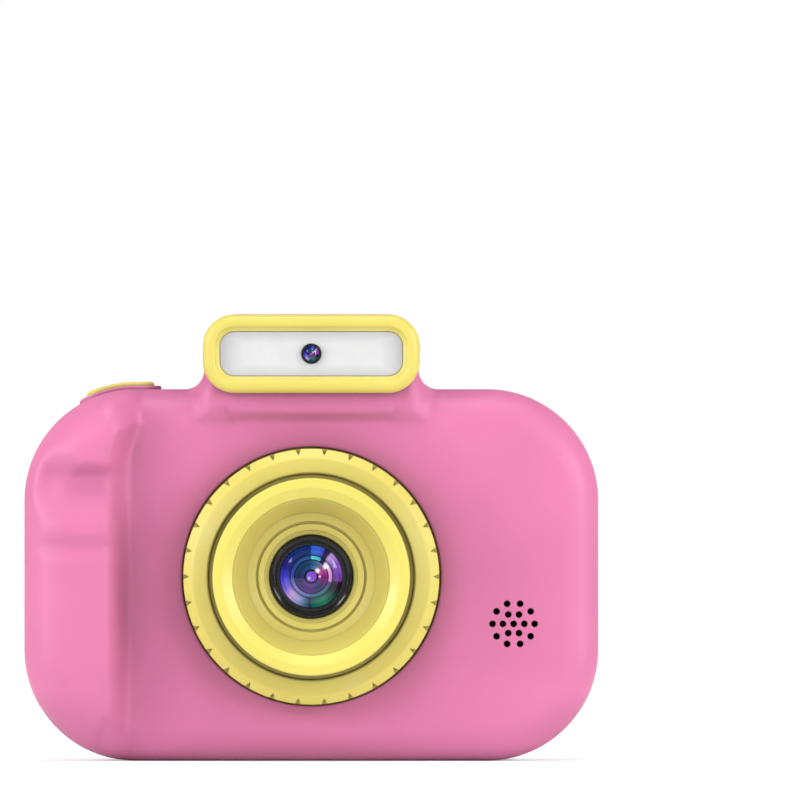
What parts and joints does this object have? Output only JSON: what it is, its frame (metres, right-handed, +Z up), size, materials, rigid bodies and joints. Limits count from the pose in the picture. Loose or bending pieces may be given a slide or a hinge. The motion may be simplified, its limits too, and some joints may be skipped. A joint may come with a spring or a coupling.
{
  "type": "kids digital camera",
  "caption": "Small round-cornered toy camera with a grip, a lens with a turning notched ring, a light pod on top, a rear screen and press buttons.",
  "frame": {"origin": "centre of the flat underside, on the plane where the front and back shells meet", "axes": "+Z up, -Y is the way the camera's lens looks, +X to the right seen from the front (the grip is at -X)"},
  "size_m": [0.098, 0.0393, 0.0763],
  "materials": {
    "pink_shell": "satin",
    "yellow_trim": "satin",
    "black_plastic": "gloss",
    "panel_clear": "gloss",
    "panel_ink": "gloss",
    "adhesive": "matte",
    "screen": "gloss",
    "pressed_steel": "satin",
    "ribbon": "satin",
    "board": "satin",
    "chips": "matte",
    "plungers": "satin",
    "screws": "satin",
    "card": "matte",
    "cell": "satin",
    "wires": "satin",
    "speaker": "matte",
    "foam": "matte",
    "glass": "gloss",
    "diffuser": "satin",
    "led": "gloss"
  },
  "bodies": {
    "casing": {"front_shell": "pink_shell", "back_shell": "pink_shell", "shutter_bezel": "pink_shell", "pod_bezel": "yellow_trim", "front_ring": "yellow_trim", "lens_barrel": "yellow_trim", "lens_base": "black_plastic", "lens_mount": "black_plastic", "lens_retainer": "black_plastic", "pod_lens_ring": "black_plastic", "lens_iris": "black_plastic", "rear_window": "black_plastic", "back_panel": "panel_clear", "panel_mask": "panel_ink", "panel_adhesive": "adhesive", "lcd_module": "screen", "lcd_tray": "pressed_steel", "usb_socket": "pressed_steel", "card_socket": "pressed_steel", "lcd_flex": "ribbon", "camera_flex": "ribbon", "pod_link": "ribbon", "main_board": "board", "flash_board": "board", "pod_board": "board", "shutter_board": "board", "board_parts": "chips", "key_switches": "chips", "shutter_switch": "chips", "reset_switch": "chips", "camera_module": "chips", "pod_camera": "chips", "rear_camera": "chips", "case_screws": "screws", "lens_screws": "screws", "battery": "cell", "battery_leads": "wires", "speaker_leads": "wires", "speaker": "speaker", "speaker_gasket": "foam", "front_glass": "glass", "rear_glass": "glass", "pod_lens": "glass", "rear_lens": "glass", "flash_window": "diffuser", "flash_leds": "led"},
    "lens_ring": {"focus_ring": "yellow_trim"},
    "shutter_button": {"shutter_cap": "yellow_trim", "shutter_plunger": "plungers"},
    "power_button": {"key_power": "yellow_trim", "plunger_power": "plungers"},
    "up_button": {"key_up": "yellow_trim", "plunger_up": "plungers"},
    "settings_button": {"key_settings": "yellow_trim", "plunger_settings": "plungers"},
    "gallery_button": {"key_gallery": "yellow_trim", "plunger_gallery": "plungers"},
    "down_button": {"key_down": "yellow_trim", "plunger_down": "plungers"},
    "card": {"memory_card": "card"}
  },
  "joints": [
    {"name": "power_press", "type": "slide", "parent": "casing", "child": "power_button", "axis": [0, -1, 0], "range_m": [0, 0.00045]},
    {"name": "up_press", "type": "slide", "parent": "casing", "child": "up_button", "axis": [0, -1, 0], "range_m": [0, 0.00045]},
    {"name": "settings_press", "type": "slide", "parent": "casing", "child": "settings_button", "axis": [0, -1, 0], "range_m": [0, 0.00045]},
    {"name": "gallery_press", "type": "slide", "parent": "casing", "child": "gallery_button", "axis": [0, -1, 0], "range_m": [0, 0.00045]},
    {"name": "down_press", "type": "slide", "parent": "casing", "child": "down_button", "axis": [0, -1, 0], "range_m": [0, 0.00045]},
    {"name": "shutter_press", "type": "slide", "parent": "casing", "child": "shutter_button", "axis": [0, 0, -1], "range_m": [0, 0.0006]},
    {"name": "lens_ring_turn", "type": "hinge", "parent": "casing", "child": "lens_ring", "pos_m": [0, -0.017, 0.03155], "axis": [0, -1, 0], "continuous": true},
    {"name": "card_slide", "type": "slide", "parent": "casing", "child": "card", "axis": [-1, 0, 0], "range_m": [0, 0.018]}
  ]
}
